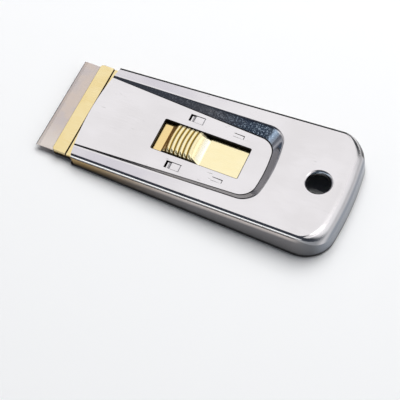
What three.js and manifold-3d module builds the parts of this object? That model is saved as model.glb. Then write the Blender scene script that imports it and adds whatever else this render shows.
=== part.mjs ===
// Pocket glass scraper with a retracting blade: a pressed steel handle and a brass-plated blade carriage.
// Millimetres, +Z up. The blade points to -X, the hanging hole lies towards +X and the underside is z = 0.
// Stations along the handle are measured from the line through the two front corners of its top.

import * as THREE from 'three';
import { mergeVertices } from 'three/addons/utils/BufferGeometryUtils.js';
import Module from 'manifold-3d';

const wasm = await Module();
wasm.setup();

// Clearances
const RUN_GAP = 0.3;          // between the handle and what slides in it
const SEAT_GAP = 0.05;        // between faces that are clamped together
const PIN_GAP = 0.1;          // around a pin in its hole

// Blade
const BLADE_WIDTH = 40;
const BLADE_DEPTH = 20;       // from the cutting edge to the back
const BLADE_THICK = 0.3;
const EDGE_GRIND = 1.3;       // length of the ground flats
const EDGE_LAND = 0.04;       // thickness left at the cutting edge

// Jaws of the carriage
const BLADE_SHOW = 6.5;       // blade standing out of the jaws
const JAW_OVERHANG = 0.4;     // jaw beyond each end of the blade
const JAW_CORNER = 1.2;       // plan radius of the jaw's front corners
const SLIDE_SHEET = 0.55;     // upper plate with the thumb hump
const HEM_WIDTH = 5.2;        // front edge of the upper plate, folded back over itself
const LOWER_SHEET = 1;        // lower plate under the blade
const LOWER_SET_BACK = 0.1;
const BACK_GAP = 0.3;         // behind the blade, in front of the step in the lower plate
const STEP_RUN = 1.2;         // length of that step
const LAP_LENGTH = 8;         // where the two plates lie together behind the step
const NECK_WIDTH = 28;        // upper plate behind the jaws
const SHOULDER_RADIUS = 4;
const TAIL_COVER = 1.5;       // upper plate past the window's rear edge when it is pushed right forward

// Pins that locate the blade, and rivets that hold the two plates together
const PEG_RADIUS = 1.5;
const PEG_FROM_BACK = 5;      // from the blade's back edge
const PEG_FROM_END = 8;       // from each end of the blade
const RIVET_RADIUS = 1.2;
const RIVET_FROM_END = 10.4;  // from each end of the jaws
const HEAD_RADIUS = 2.3;
const HEAD_FLAT = 1.8;        // radius of the flat on a head
const HEAD_HEIGHT = 0.45;

// Thumb hump pressed up from the upper plate
const HUMP_LENGTH = 15;
const HUMP_WIDTH = 12.3;
const HUMP_HEIGHT = 2.95;
const HUMP_FRONT_RUN = 1.7;   // length of its steep front face
const HUMP_REAR_RUN = 3.6;    // length of its rear slope
const RAMP_EASE = 0.5;        // how far that slope's ends are smoothed: 0 is straight
const HUMP_ARCH = 9;          // power of the arch across it: 2 is an ellipse, more is squarer
const RIB_COUNT = 6;
const RIB_DEPTH = 0.55;

// Travel of the carriage from the working position
const FORWARD_TRAVEL = 3;
const PARK_MARGIN = 0.2;      // cutting edge behind the handle's front corners when it is drawn in

// Handle
const SHELL_SHEET = 0.8;
const SIDE_GAP = 0.2;         // beside the jaws at the mouth
const SIDE_LEAN = 0.123;      // inward lean of the side walls for each unit of height
const SIDE_FLARE = 3.6;       // growth of the half width from the front to the rear
const FRONT_STEP = 0.3;       // drop from the side rails to the sunk panel at the front
const REAR_HEIGHT = 10.5;
const FRONT_BOW = 2.3;        // forward bulge of the front edge
const REAR_BOW_RADIUS = 130;
const CORNER_RADIUS = 11;
const EDGE_ROUND = 1.3;       // along the top of the side walls
const REAR_ROUND = 5;         // along the top of the rear wall
const FOOT_ROUND = 0.7;       // along the foot of the walls
const FLANGE_WIDTH = 4.5;     // foot of the walls, turned in
const NOTCH_LENGTH = 1.8;     // relief in the side walls at the mouth

// Sunk panel in the top of the handle
const RAIL_WIDTH = 4.4;       // from the side of the handle to the brim of the sunk panel
const PANEL_LAND = 24.7;      // from the front corners to the window
const WINDOW_SIDE_GAP = 0.5;
const WINDOW_CORNER = 0.6;
const REAR_LAND = 7.7;        // panel behind the window
const BRIM_CORNER = 7;
const FLOOR_CORNER = 6;
const RECESS_BOW_RADIUS = 60;
const SIDE_WALL_EASE = 1.25;  // plan width of the panel's side walls where the step is nil
const SIDE_WALL_RATE = 0.95;  // and what it gains for each unit of depth
const REAR_WALL_RUN = 3.9;    // plan width of the panel's rear wall
const WALL_FOOT = 0.06;       // share of a wall's plan width that is curved at its foot
const WALL_BRIM = 0.34;       // and at its brim
const TAIL_LENGTH = 28.9;     // from the rear brim to the end of the handle

// Spring tongues lanced down out of the panel, one pair that locks the blade out and one that parks it
const TONGUE_SPACING = 9.3;   // from the middle line to the inner slit
const LOCK_SET_BACK = 7.4;    // from the window's front edge
const LOCK_LENGTH = 5.7;
const LOCK_WIDTH = 3.1;
const LOCK_MOUTH = 1.5;       // open end in front of the tongue
const PARK_SET_BACK = 24.7;
const PARK_LENGTH = 4;
const PARK_WIDTH = 1.6;
const PARK_MOUTH = 0.3;
const PARK_DROP = 0.3;
const SLIT = 0.2;
const ROOT_GRIP = 0.4;        // root of a tongue within the panel's sheet
const ROOT_SKIN = 0.1;        // sheet left over and under that root
const CATCH_LENGTH = 2.2;     // openings in the upper plate that the tongues spring into

// Hanging hole with a drawn collar
const HOLE_RADIUS = 4.25;
const HOLE_FROM_REAR = 13;
const LIP_ROUND = 1.1;
const COLLAR_DEPTH = 1.9;

// Facets
const CORNER_STEPS = 10;
const BOW_STEPS = 8;
const ROUND_STEPS = 4;
const EDGE_STEPS = 5;
const WALL_STEPS = 8;
const ARCH_STEPS = 14;
const RIB_STEPS = 4;
const PIN_STEPS = 24;
const HOLE_STEPS = 40;
const OVERCUT = 1;            // how far a cutting body stands past what it cuts

// Heights, from the foot of the handle upwards
const LOWER_BOTTOM = SHELL_SHEET + RUN_GAP;
const LOWER_TOP = LOWER_BOTTOM + LOWER_SHEET;
const BLADE_BOTTOM = LOWER_TOP + SEAT_GAP;
const BLADE_TOP = BLADE_BOTTOM + BLADE_THICK;
const SLIDE_BOTTOM = BLADE_TOP + SEAT_GAP;
const SLIDE_TOP = SLIDE_BOTTOM + SLIDE_SHEET;
const HEM_TOP = SLIDE_TOP + SLIDE_SHEET;
const PANEL_BOTTOM = HEM_TOP + RUN_GAP;
const PANEL_TOP = PANEL_BOTTOM + SHELL_SHEET;
const FRONT_HEIGHT = PANEL_TOP + FRONT_STEP;

// Stations and half widths
const JAW_FRONT = -HEM_WIDTH - FRONT_BOW;
const EDGE_STATION = JAW_FRONT - BLADE_SHOW;
const BLADE_BACK = EDGE_STATION + BLADE_DEPTH;
const PARK_TRAVEL = PARK_MARGIN - EDGE_STATION;
const WINDOW_FRONT = PANEL_LAND;
const HUMP_FRONT = WINDOW_FRONT + RUN_GAP + FORWARD_TRAVEL;
const WINDOW_REAR = HUMP_FRONT + HUMP_LENGTH + PARK_TRAVEL + RUN_GAP;
const WINDOW_HALF = HUMP_WIDTH / 2 + WINDOW_SIDE_GAP;
const BRIM_REAR = WINDOW_REAR + REAR_LAND + REAR_WALL_RUN;
const HANDLE_REAR = BRIM_REAR + TAIL_LENGTH;
const HOLE_STATION = HANDLE_REAR - HOLE_FROM_REAR;
const JAW_HALF = BLADE_WIDTH / 2 + JAW_OVERHANG;
const FOOT_HALF = JAW_HALF + SIDE_GAP + SHELL_SHEET + SIDE_LEAN * HEM_TOP;
const FLARE_RATE = SIDE_FLARE / HANDLE_REAR;
const RISE_RATE = (REAR_HEIGHT - FRONT_HEIGHT) / HANDLE_REAR;
const MIDDLE = (EDGE_STATION + HANDLE_REAR - SIDE_LEAN * FOOT_ROUND) / 2;
const topHeight = (x) => FRONT_HEIGHT + RISE_RATE * x;

// Colours and finishes
const steel = () => new THREE.MeshStandardMaterial({ color: 0xd8d6d9, roughness: 0.28, metalness: 1 });
const brass = () => new THREE.MeshStandardMaterial({ color: 0xe9d08c, roughness: 0.34, metalness: 1 });
const bladeSteel = () => new THREE.MeshStandardMaterial({ color: 0xb9b1ae, roughness: 0.3, metalness: 1 });
const rivetSteel = () => new THREE.MeshStandardMaterial({ color: 0xc6bfae, roughness: 0.4, metalness: 1 });

// Solids

function solid(geometry) {
  const bare = geometry.clone();
  bare.deleteAttribute('normal');
  bare.deleteAttribute('uv');
  const merged = mergeVertices(bare);
  const vertProperties = new Float32Array(merged.attributes.position.array);
  const triVerts = new Uint32Array(merged.index.array);
  return new wasm.Manifold(new wasm.Mesh({ numProp: 3, vertProperties, triVerts }));
}

function namedMesh(name, body, material) {
  const { vertProperties, triVerts } = body.getMesh();
  const geometry = new THREE.BufferGeometry();
  geometry.setAttribute('position', new THREE.BufferAttribute(vertProperties, 3));
  geometry.setIndex(new THREE.BufferAttribute(triVerts, 1));
  geometry.computeVertexNormals();
  const mesh = new THREE.Mesh(geometry, material);
  mesh.name = name;
  return mesh;
}

// Closed skin through rings of points, each ring anticlockwise when seen from the last one's side.
// flatten gives the two coordinates in which an end is filled.
function loft(rings, flatten) {
  const count = rings[0].length;
  const last = (rings.length - 1) * count;
  const index = [];
  for (let r = 0; r < last; r += count) {
    for (let i = 0; i < count; i++) {
      const j = (i + 1) % count;
      index.push(r + i, r + j, r + count + j, r + i, r + count + j, r + count + i);
    }
  }
  const fill = (ring) => THREE.ShapeUtils.triangulateShape(ring.map(flatten), []);
  for (const [a, b, c] of fill(rings[0])) index.push(a, c, b);
  for (const [a, b, c] of fill(rings.at(-1))) index.push(last + a, last + b, last + c);
  const geometry = new THREE.BufferGeometry();
  geometry.setFromPoints(rings.flat());
  geometry.setIndex(index);
  return solid(geometry);
}

const seenFromAbove = (p) => new THREE.Vector2(p.x, p.y);
const seenFromRear = (p) => new THREE.Vector2(p.y, p.z);

function extruded(shape, depth) {
  return new THREE.ExtrudeGeometry(shape, { depth, bevelEnabled: false, curveSegments: CORNER_STEPS });
}

// Plan outline stood up between two heights.
function upright(shape, low, high) {
  return solid(extruded(shape, high - low).translate(0, 0, low));
}

// Side outline, in stations and heights, carried straight across the handle.
function across(shape, width, middle = 0) {
  return solid(extruded(shape, width).rotateX(Math.PI / 2).translate(0, middle + width / 2, 0));
}

// Body turned from points of radius and height, stood at a plan position.
function turned(points, x, y, steps) {
  const profile = points.map(([radius, height]) => new THREE.Vector2(radius, height));
  const geometry = new THREE.LatheGeometry(profile, steps);
  return solid(geometry.rotateX(Math.PI / 2).translate(x, y, 0));
}

const post = (radius, low, high, x, y) =>
  turned([[0, low], [radius, low], [radius, high], [0, high]], x, y, PIN_STEPS);

function polygon(points) {
  return new THREE.Shape(points.map(([x, y]) => new THREE.Vector2(x, y)));
}

function roundedBox(x0, x1, half, radius) {
  const shape = new THREE.Shape();
  shape.moveTo(x0 + radius, -half);
  shape.absarc(x1 - radius, -half + radius, radius, -Math.PI / 2, 0);
  shape.absarc(x1 - radius, half - radius, radius, 0, Math.PI / 2);
  shape.absarc(x0 + radius, half - radius, radius, Math.PI / 2, Math.PI);
  shape.absarc(x0 + radius, -half + radius, radius, Math.PI, Math.PI * 1.5);
  return shape;
}

// Plan outline, open to the front, with tapered sides and a bowed rear joined by round corners.
// half gives the half width at station 0 and rate its growth. Each point carries its outward normal.
function bluntOutline(front, half, rate, rear, bowRadius, corner) {
  const slant = Math.hypot(1, rate);
  const bowCentre = rear - bowRadius;
  const reach = bowRadius - corner;
  const base = half - corner * slant;
  const a = 1 + rate * rate;
  const b = rate * base - bowCentre;
  const c = bowCentre * bowCentre + base * base - reach * reach;
  const cornerX = (-b + Math.sqrt(b * b - a * c)) / a;
  const cornerY = base + rate * cornerX;
  const sideTurn = Math.atan2(1, -rate);
  const bowTurn = Math.atan2(cornerY, cornerX - bowCentre);
  const side = [];
  const add = (x, y, nx, ny) => side.push({ x, y, nx, ny });
  add(front, half + rate * front, Math.cos(sideTurn), Math.sin(sideTurn));
  for (let i = 0; i <= CORNER_STEPS; i++) {
    const turn = THREE.MathUtils.lerp(sideTurn, bowTurn, i / CORNER_STEPS);
    const [nx, ny] = [Math.cos(turn), Math.sin(turn)];
    add(cornerX + corner * nx, cornerY + corner * ny, nx, ny);
  }
  for (let i = 1; i < BOW_STEPS / 2; i++) {
    const turn = bowTurn * (1 - (2 * i) / BOW_STEPS);
    const [nx, ny] = [Math.cos(turn), Math.sin(turn)];
    add(bowCentre + bowRadius * nx, bowRadius * ny, nx, ny);
  }
  const near = side.map(({ x, y, nx, ny }) => ({ x, y: -y, nx, ny: -ny }));
  return [...near, { x: rear, y: 0, nx: 1, ny: 0 }, ...side.reverse()];
}

// Smooth change from 0 to 1 as t passes from 0 to 1.
const ease = (t) => THREE.MathUtils.smoothstep(t, 0, 1);

// Handle shell

const FRONT_REACH = FRONT_BOW + OVERCUT;

const footOutline = (front) =>
  bluntOutline(front, FOOT_HALF, FLARE_RATE, HANDLE_REAR, REAR_BOW_RADIUS, CORNER_RADIUS);

// Wedge of the handle's outside, or with an inset the hollow inside it.
function wedge(inset, front) {
  const base = footOutline(front);
  const level = (z, extra) => base.map((p) => {
    const move = SIDE_LEAN * z + inset + extra;
    return new THREE.Vector3(p.x - p.nx * move, p.y - p.ny * move, z);
  });
  const roundEdge = (turn) => base.map((p) => {
    const round = THREE.MathUtils.lerp(EDGE_ROUND, REAR_ROUND, ease(p.nx)) - inset;
    const drop = inset + round * (1 - Math.sin(turn));
    const move = inset + round * (1 - Math.cos(turn));
    const still = SIDE_LEAN * (FRONT_HEIGHT - drop) + move;
    const x = (p.x - p.nx * still) / (1 + p.nx * SIDE_LEAN * RISE_RATE);
    const z = topHeight(x) - drop;
    return new THREE.Vector3(x, p.y - p.ny * (SIDE_LEAN * z + move), z);
  });
  const footRound = inset ? 0 : FOOT_ROUND;
  const rings = [];
  for (let i = 0; i < ROUND_STEPS && footRound; i++) {
    const turn = (i / ROUND_STEPS) * Math.PI / 2;
    rings.push(level(footRound * (1 - Math.cos(turn)), footRound * (1 - Math.sin(turn))));
  }
  rings.push(level(inset + footRound, 0));
  for (let i = 0; i <= EDGE_STEPS; i++) rings.push(roundEdge((i / EDGE_STEPS) * Math.PI / 2));
  return loft(rings, seenFromAbove);
}

// Height and slope of the sunk panel's wall as shares of its mean ones, from its foot to its brim.
// It is straight between a tight foot and a broad brim.
function wallShape(rise) {
  const slope = 1 / (1 - (WALL_FOOT + WALL_BRIM) / 2);
  const left = 1 - rise;
  if (rise < WALL_FOOT) return [(slope * rise * rise) / (2 * WALL_FOOT), (slope * rise) / WALL_FOOT];
  if (left < WALL_BRIM) return [1 - (slope * left * left) / (2 * WALL_BRIM), (slope * left) / WALL_BRIM];
  return [slope * (rise - WALL_FOOT / 2), slope];
}

// Space above the sunk panel, or with a sheet thickness the space above its underside.
function recess(sheet, front) {
  const brimHalf = FOOT_HALF - RAIL_WIDTH;
  const rises = [0, WALL_FOOT / 2, WALL_FOOT];
  for (let i = 0; i <= ROUND_STEPS; i++) rises.push(1 - WALL_BRIM * (1 - i / ROUND_STEPS));
  const rings = rises.map((rise) => {
    const half = brimHalf - (1 - rise) * (SIDE_WALL_EASE + SIDE_WALL_RATE * FRONT_STEP);
    const rate = -(1 - rise) * SIDE_WALL_RATE * RISE_RATE;
    const rear = BRIM_REAR - (1 - rise) * REAR_WALL_RUN;
    const corner = THREE.MathUtils.lerp(FLOOR_CORNER, BRIM_CORNER, rise);
    const [share, steep] = wallShape(rise);
    return bluntOutline(front, half, rate, rear, RECESS_BOW_RADIUS, corner).map(({ x, y, nx, ny }) => {
      const depth = topHeight(x) - PANEL_TOP;
      const slope = (steep * depth) / (SIDE_WALL_EASE + SIDE_WALL_RATE * depth);
      const slant = Math.hypot(1, slope);
      const out = (sheet * slope) / slant;
      return new THREE.Vector3(x + out * nx, y + out * ny, PANEL_TOP + depth * share - sheet / slant);
    });
  });
  rings.push(rings.at(-1).map((p) => new THREE.Vector3(p.x, p.y, REAR_HEIGHT + OVERCUT)));
  return loft(rings, seenFromAbove);
}

// Everything ahead of the bowed front edge.
function aheadOfFront() {
  const radius = (FOOT_HALF * FOOT_HALF + FRONT_BOW * FRONT_BOW) / (2 * FRONT_BOW);
  const half = FOOT_HALF + OVERCUT;
  const turn = Math.asin(half / radius);
  const shape = new THREE.Shape();
  shape.moveTo(-FRONT_REACH - OVERCUT, half);
  shape.lineTo(-FRONT_REACH - OVERCUT, -half);
  shape.absarc(radius - FRONT_BOW, 0, radius, Math.PI + turn, Math.PI - turn, true);
  return upright(shape, -OVERCUT, FRONT_HEIGHT + OVERCUT);
}

// Relief in both side walls at the mouth, above the foot flange.
function mouthNotch() {
  const shape = polygon([
    [-FRONT_REACH, SHELL_SHEET],
    [NOTCH_LENGTH, SHELL_SHEET],
    [0, HEM_TOP],
    [-FRONT_REACH, HEM_TOP],
  ]);
  return across(shape, 2 * (FOOT_HALF + OVERCUT));
}

// Opening for a tongue on one side.
function tongueCut(setBack, length, width, side) {
  const middle = side * (TONGUE_SPACING + width / 2);
  const start = WINDOW_FRONT + setBack;
  const shape = roundedBox(start, start + length, width / 2, SLIT);
  return upright(shape, PANEL_BOTTOM - OVERCUT, PANEL_TOP + OVERCUT).translate([0, middle, 0]);
}

// Tongue that is left standing in that opening.
// lead is +1 where its free end points to the rear and -1 where it points to the front.
function tongue(setBack, length, width, side, lead, mouth, drop) {
  const start = WINDOW_FRONT + setBack;
  const root = lead > 0 ? start : start + length;
  const tip = root + lead * (length - mouth);
  const grip = root - lead * ROOT_GRIP;
  const shape = polygon([
    [tip, PANEL_BOTTOM - drop],
    [root, PANEL_BOTTOM],
    [grip, PANEL_BOTTOM + ROOT_SKIN],
    [grip, PANEL_TOP - ROOT_SKIN],
    [root, PANEL_TOP],
    [tip, PANEL_TOP - drop],
  ]);
  return across(shape, width - 2 * SLIT, side * (TONGUE_SPACING + width / 2));
}

// Hanging hole, square to the sloping top: the sheet is drawn down into a collar with a round lip.
function setInTop(points) {
  const tilt = -Math.atan(RISE_RATE) * THREE.MathUtils.RAD2DEG;
  return turned(points, 0, 0, HOLE_STEPS)
    .rotate([0, tilt, 0])
    .translate([HOLE_STATION, 0, topHeight(HOLE_STATION)]);
}

function collar() {
  const outside = HOLE_RADIUS + SHELL_SHEET;
  const buried = -SHELL_SHEET / 2;
  return setInTop([[0, -COLLAR_DEPTH], [outside, -COLLAR_DEPTH], [outside, buried], [0, buried]]);
}

function lipBore() {
  const points = [[0, -COLLAR_DEPTH - OVERCUT], [HOLE_RADIUS, -COLLAR_DEPTH - OVERCUT]];
  for (let i = 0; i < ROUND_STEPS; i++) {
    const turn = (i / ROUND_STEPS) * Math.PI / 2;
    points.push([HOLE_RADIUS + LIP_ROUND * (1 - Math.cos(turn)), LIP_ROUND * (Math.sin(turn) - 1)]);
  }
  points.push([HOLE_RADIUS + LIP_ROUND, 0], [HOLE_RADIUS + LIP_ROUND, OVERCUT], [0, OVERCUT]);
  return setInTop(points);
}

function handleShell() {
  const outside = wedge(0, -FRONT_REACH);
  const inside = wedge(SHELL_SHEET, -FRONT_REACH - OVERCUT);
  const insideFoot = footOutline(-FRONT_REACH - OVERCUT)
    .map((p) => [p.x - p.nx * FLANGE_WIDTH, p.y - p.ny * FLANGE_WIDTH]);
  const sunkPanel = recess(SHELL_SHEET, -FRONT_REACH).intersect(outside);
  const thumbWindow = roundedBox(WINDOW_FRONT, WINDOW_REAR, WINDOW_HALF, WINDOW_CORNER);
  let shell = outside
    .subtract(inside)
    .add(sunkPanel)
    .add(collar())
    .subtract(recess(0, -FRONT_REACH - OVERCUT))
    .subtract(upright(polygon(insideFoot), -OVERCUT, SHELL_SHEET + OVERCUT))
    .subtract(upright(thumbWindow, PANEL_BOTTOM - OVERCUT, PANEL_TOP + OVERCUT))
    .subtract(aheadOfFront())
    .subtract(mouthNotch())
    .subtract(lipBore());
  const lockDrop = PANEL_BOTTOM - SLIDE_TOP - RUN_GAP;
  for (const side of [-1, 1]) {
    shell = shell
      .subtract(tongueCut(LOCK_SET_BACK, LOCK_LENGTH, LOCK_WIDTH, side))
      .add(tongue(LOCK_SET_BACK, LOCK_LENGTH, LOCK_WIDTH, side, -1, LOCK_MOUTH, lockDrop))
      .subtract(tongueCut(PARK_SET_BACK, PARK_LENGTH, PARK_WIDTH, side))
      .add(tongue(PARK_SET_BACK, PARK_LENGTH, PARK_WIDTH, side, 1, PARK_MOUTH, PARK_DROP));
  }
  return shell;
}

// Carriage

const PEG_STATION = BLADE_BACK - PEG_FROM_BACK;
const PEG_SPREAD = BLADE_WIDTH - 2 * PEG_FROM_END;
const RIVET_SPREAD = 2 * (JAW_HALF - RIVET_FROM_END);
const STEP_FRONT = BLADE_BACK + BACK_GAP;
const LAP_FRONT = STEP_FRONT + STEP_RUN;
const LAP_REAR = LAP_FRONT + LAP_LENGTH;
const RIVET_STATION = (LAP_FRONT + LAP_REAR) / 2;
const LAP_TOP = SLIDE_BOTTOM - SEAT_GAP;
const LAP_BOTTOM = LAP_TOP - LOWER_SHEET;

// Vertical holes for a pair of pins.
function pinHoles(radius, station, spread) {
  const hole = (side) => post(radius + PIN_GAP, -OVERCUT, PANEL_TOP, station, (side * spread) / 2);
  return hole(-1).add(hole(1));
}

// Thumb hump: arches across the plate, set one behind the other, with ribs around them.
// shrink draws it in to give its hollow underside.
function hump(shrink, foot) {
  const ribStart = HUMP_FRONT + HUMP_FRONT_RUN;
  const ribEnd = HUMP_FRONT + HUMP_LENGTH - HUMP_REAR_RUN;
  const pitch = (ribEnd - ribStart) / RIB_COUNT;
  const stations = [];
  for (let i = 0; i < ROUND_STEPS; i++) stations.push(HUMP_FRONT + HUMP_FRONT_RUN * (i / ROUND_STEPS) ** 2);
  for (let i = 0; i <= RIB_COUNT * RIB_STEPS; i++) stations.push(ribStart + (i * pitch) / RIB_STEPS);
  for (let i = 1; i <= WALL_STEPS; i++) stations.push(ribEnd + (i * HUMP_REAR_RUN) / WALL_STEPS);
  const rings = stations.map((x) => {
    const front = Math.sqrt(Math.min(1, (x - HUMP_FRONT) / HUMP_FRONT_RUN));
    const down = THREE.MathUtils.clamp((x - ribEnd) / HUMP_REAR_RUN, 0, 1);
    const along = Math.min(front, 1 - THREE.MathUtils.lerp(down, ease(down), RAMP_EASE));
    const ribs = THREE.MathUtils.clamp((x - ribStart) / pitch, 0, RIB_COUNT);
    const groove = (RIB_DEPTH * (1 + Math.cos(2 * Math.PI * ribs))) / 2;
    const height = Math.max((HUMP_HEIGHT - groove) * along - shrink, 0);
    const half = HUMP_WIDTH / 2 - groove - shrink;
    const station = x + shrink * (1 - (2 * (x - HUMP_FRONT)) / HUMP_LENGTH);
    const ring = [];
    for (let i = 0; i <= ARCH_STEPS; i++) {
      const turn = (i / ARCH_STEPS) * Math.PI;
      const [c, s] = [Math.cos(turn), Math.sin(turn)];
      const y = half * Math.sign(c) * Math.pow(Math.abs(c), 2 / HUMP_ARCH);
      const z = SLIDE_TOP + height * Math.pow(s, 2 / HUMP_ARCH);
      ring.push(new THREE.Vector3(station, y, z));
    }
    ring.push(new THREE.Vector3(station, -half, foot), new THREE.Vector3(station, half, foot));
    return ring;
  });
  return loft(rings, seenFromRear);
}

// Plan of the jaws, with round front corners, and of the narrower plate behind them.
function jawPlan(front, rear) {
  const shape = new THREE.Shape();
  shape.moveTo(rear, -JAW_HALF);
  shape.lineTo(rear, JAW_HALF);
  shape.absarc(front + JAW_CORNER, JAW_HALF - JAW_CORNER, JAW_CORNER, Math.PI / 2, Math.PI);
  shape.absarc(front + JAW_CORNER, JAW_CORNER - JAW_HALF, JAW_CORNER, Math.PI, Math.PI * 1.5);
  return shape;
}

function slidePlan(rear) {
  const neck = NECK_WIDTH / 2;
  const shoulder = LAP_REAR + SHOULDER_RADIUS;
  const plan = jawPlan(JAW_FRONT, LAP_REAR);
  const tail = new THREE.Shape();
  tail.moveTo(LAP_REAR, -JAW_HALF);
  tail.quadraticCurveTo(LAP_REAR, -neck, shoulder, -neck);
  tail.lineTo(rear, -neck);
  tail.lineTo(rear, neck);
  tail.lineTo(shoulder, neck);
  tail.quadraticCurveTo(LAP_REAR, neck, LAP_REAR, JAW_HALF);
  const low = SLIDE_BOTTOM - OVERCUT;
  const high = HEM_TOP + OVERCUT;
  return upright(plan, low, high).add(upright(tail, low, high).translate([-SEAT_GAP, 0, 0]));
}

// Upper plate: the hem at the front folds over a full round, and the hump is pressed up behind it.
function slidePlate() {
  const rear = WINDOW_REAR + FORWARD_TRAVEL + TAIL_COVER;
  const profile = new THREE.Shape();
  profile.moveTo(rear, SLIDE_BOTTOM);
  profile.lineTo(rear, SLIDE_TOP);
  profile.lineTo(JAW_FRONT + HEM_WIDTH, SLIDE_TOP);
  profile.lineTo(JAW_FRONT + HEM_WIDTH, HEM_TOP);
  profile.absarc(JAW_FRONT + SLIDE_SHEET, SLIDE_TOP, SLIDE_SHEET, Math.PI / 2, Math.PI * 1.5);
  let plate = across(profile, 2 * (JAW_HALF + OVERCUT))
    .intersect(slidePlan(rear + OVERCUT))
    .add(hump(0, (SLIDE_BOTTOM + SLIDE_TOP) / 2))
    .subtract(hump(SLIDE_SHEET, SLIDE_BOTTOM - OVERCUT))
    .subtract(pinHoles(PEG_RADIUS, PEG_STATION, PEG_SPREAD))
    .subtract(pinHoles(RIVET_RADIUS, RIVET_STATION, RIVET_SPREAD));
  const lockTip = WINDOW_FRONT + LOCK_SET_BACK + LOCK_MOUTH;
  const parkTip = WINDOW_FRONT + PARK_SET_BACK + PARK_LENGTH - PARK_MOUTH - PARK_TRAVEL;
  const catchFor = (front, width, side) => {
    const shape = roundedBox(front, front + CATCH_LENGTH, width / 2, SLIT);
    const middle = side * (TONGUE_SPACING + width / 2);
    return upright(shape, SLIDE_BOTTOM - OVERCUT, SLIDE_TOP + OVERCUT).translate([0, middle, 0]);
  };
  for (const side of [-1, 1]) {
    plate = plate
      .subtract(catchFor(lockTip - PIN_GAP, LOCK_WIDTH, side))
      .subtract(catchFor(parkTip + PIN_GAP - CATCH_LENGTH, PARK_WIDTH, side));
  }
  return plate;
}

// Lower plate: carries the blade, and steps up behind it to lie against the upper plate.
function bladePlate() {
  const front = JAW_FRONT + LOWER_SET_BACK;
  const side = polygon([
    [front, LOWER_BOTTOM],
    [STEP_FRONT, LOWER_BOTTOM],
    [LAP_FRONT, LAP_BOTTOM],
    [LAP_REAR, LAP_BOTTOM],
    [LAP_REAR, LAP_TOP],
    [LAP_FRONT, LAP_TOP],
    [STEP_FRONT, LOWER_TOP],
    [front, LOWER_TOP],
  ]);
  return across(side, 2 * (JAW_HALF + OVERCUT))
    .intersect(upright(jawPlan(front, LAP_REAR + OVERCUT), LOWER_BOTTOM - OVERCUT, LAP_TOP + OVERCUT))
    .subtract(pinHoles(PEG_RADIUS, PEG_STATION, PEG_SPREAD))
    .subtract(pinHoles(RIVET_RADIUS, RIVET_STATION, RIVET_SPREAD));
}

// Blade: flat strip with two ground flats that meet in the cutting edge.
function blade() {
  const middle = (BLADE_BOTTOM + BLADE_TOP) / 2;
  const side = polygon([
    [EDGE_STATION, middle - EDGE_LAND / 2],
    [EDGE_STATION + EDGE_GRIND, BLADE_BOTTOM],
    [BLADE_BACK, BLADE_BOTTOM],
    [BLADE_BACK, BLADE_TOP],
    [EDGE_STATION + EDGE_GRIND, BLADE_TOP],
    [EDGE_STATION, middle + EDGE_LAND / 2],
  ]);
  return across(side, BLADE_WIDTH).subtract(pinHoles(PEG_RADIUS, PEG_STATION, PEG_SPREAD));
}

// Peg: headed under the lower plate, and passing through the blade into the upper plate.
function bladePeg(side) {
  const head = LOWER_BOTTOM - SEAT_GAP;
  const points = [
    [0, head - HEAD_HEIGHT],
    [HEAD_FLAT, head - HEAD_HEIGHT],
    [HEAD_RADIUS, head - HEAD_HEIGHT / 2],
    [HEAD_RADIUS, head],
    [PEG_RADIUS, head],
    [PEG_RADIUS, SLIDE_TOP - SEAT_GAP],
    [0, SLIDE_TOP - SEAT_GAP],
  ];
  return turned(points, PEG_STATION, (side * PEG_SPREAD) / 2, PIN_STEPS);
}

// Rivet: headed under the lower plate and set over the upper one.
function jawRivet(side) {
  const under = LAP_BOTTOM - SEAT_GAP;
  const over = SLIDE_TOP + SEAT_GAP;
  const points = [
    [0, under - HEAD_HEIGHT],
    [HEAD_FLAT, under - HEAD_HEIGHT],
    [HEAD_RADIUS, under - HEAD_HEIGHT / 2],
    [HEAD_RADIUS, under],
    [RIVET_RADIUS, under],
    [RIVET_RADIUS, over],
    [HEAD_RADIUS, over],
    [HEAD_FLAT, over + HEAD_HEIGHT],
    [0, over + HEAD_HEIGHT],
  ];
  return turned(points, RIVET_STATION, (side * RIVET_SPREAD) / 2, PIN_STEPS);
}

// Assembly

const carriage = new THREE.Group();
carriage.add(
  namedMesh('slide_plate', slidePlate(), brass()),
  namedMesh('blade_plate', bladePlate(), brass()),
  namedMesh('blade', blade(), bladeSteel()),
);
for (const [hand, side] of [['right', -1], ['left', 1]]) {
  carriage.add(
    namedMesh(`blade_peg_${hand}`, bladePeg(side), rivetSteel()),
    namedMesh(`jaw_rivet_${hand}`, jawRivet(side), rivetSteel()),
  );
}

const scraper = new THREE.Group();
scraper.add(namedMesh('handle_shell', handleShell(), steel()), carriage);
scraper.position.x = -MIDDLE;

export default scraper;
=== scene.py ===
from math import atan2, cos, hypot, pi, radians, sin, sqrt

import bmesh
import bpy
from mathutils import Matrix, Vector
from mathutils.geometry import delaunay_2d_cdt


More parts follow.
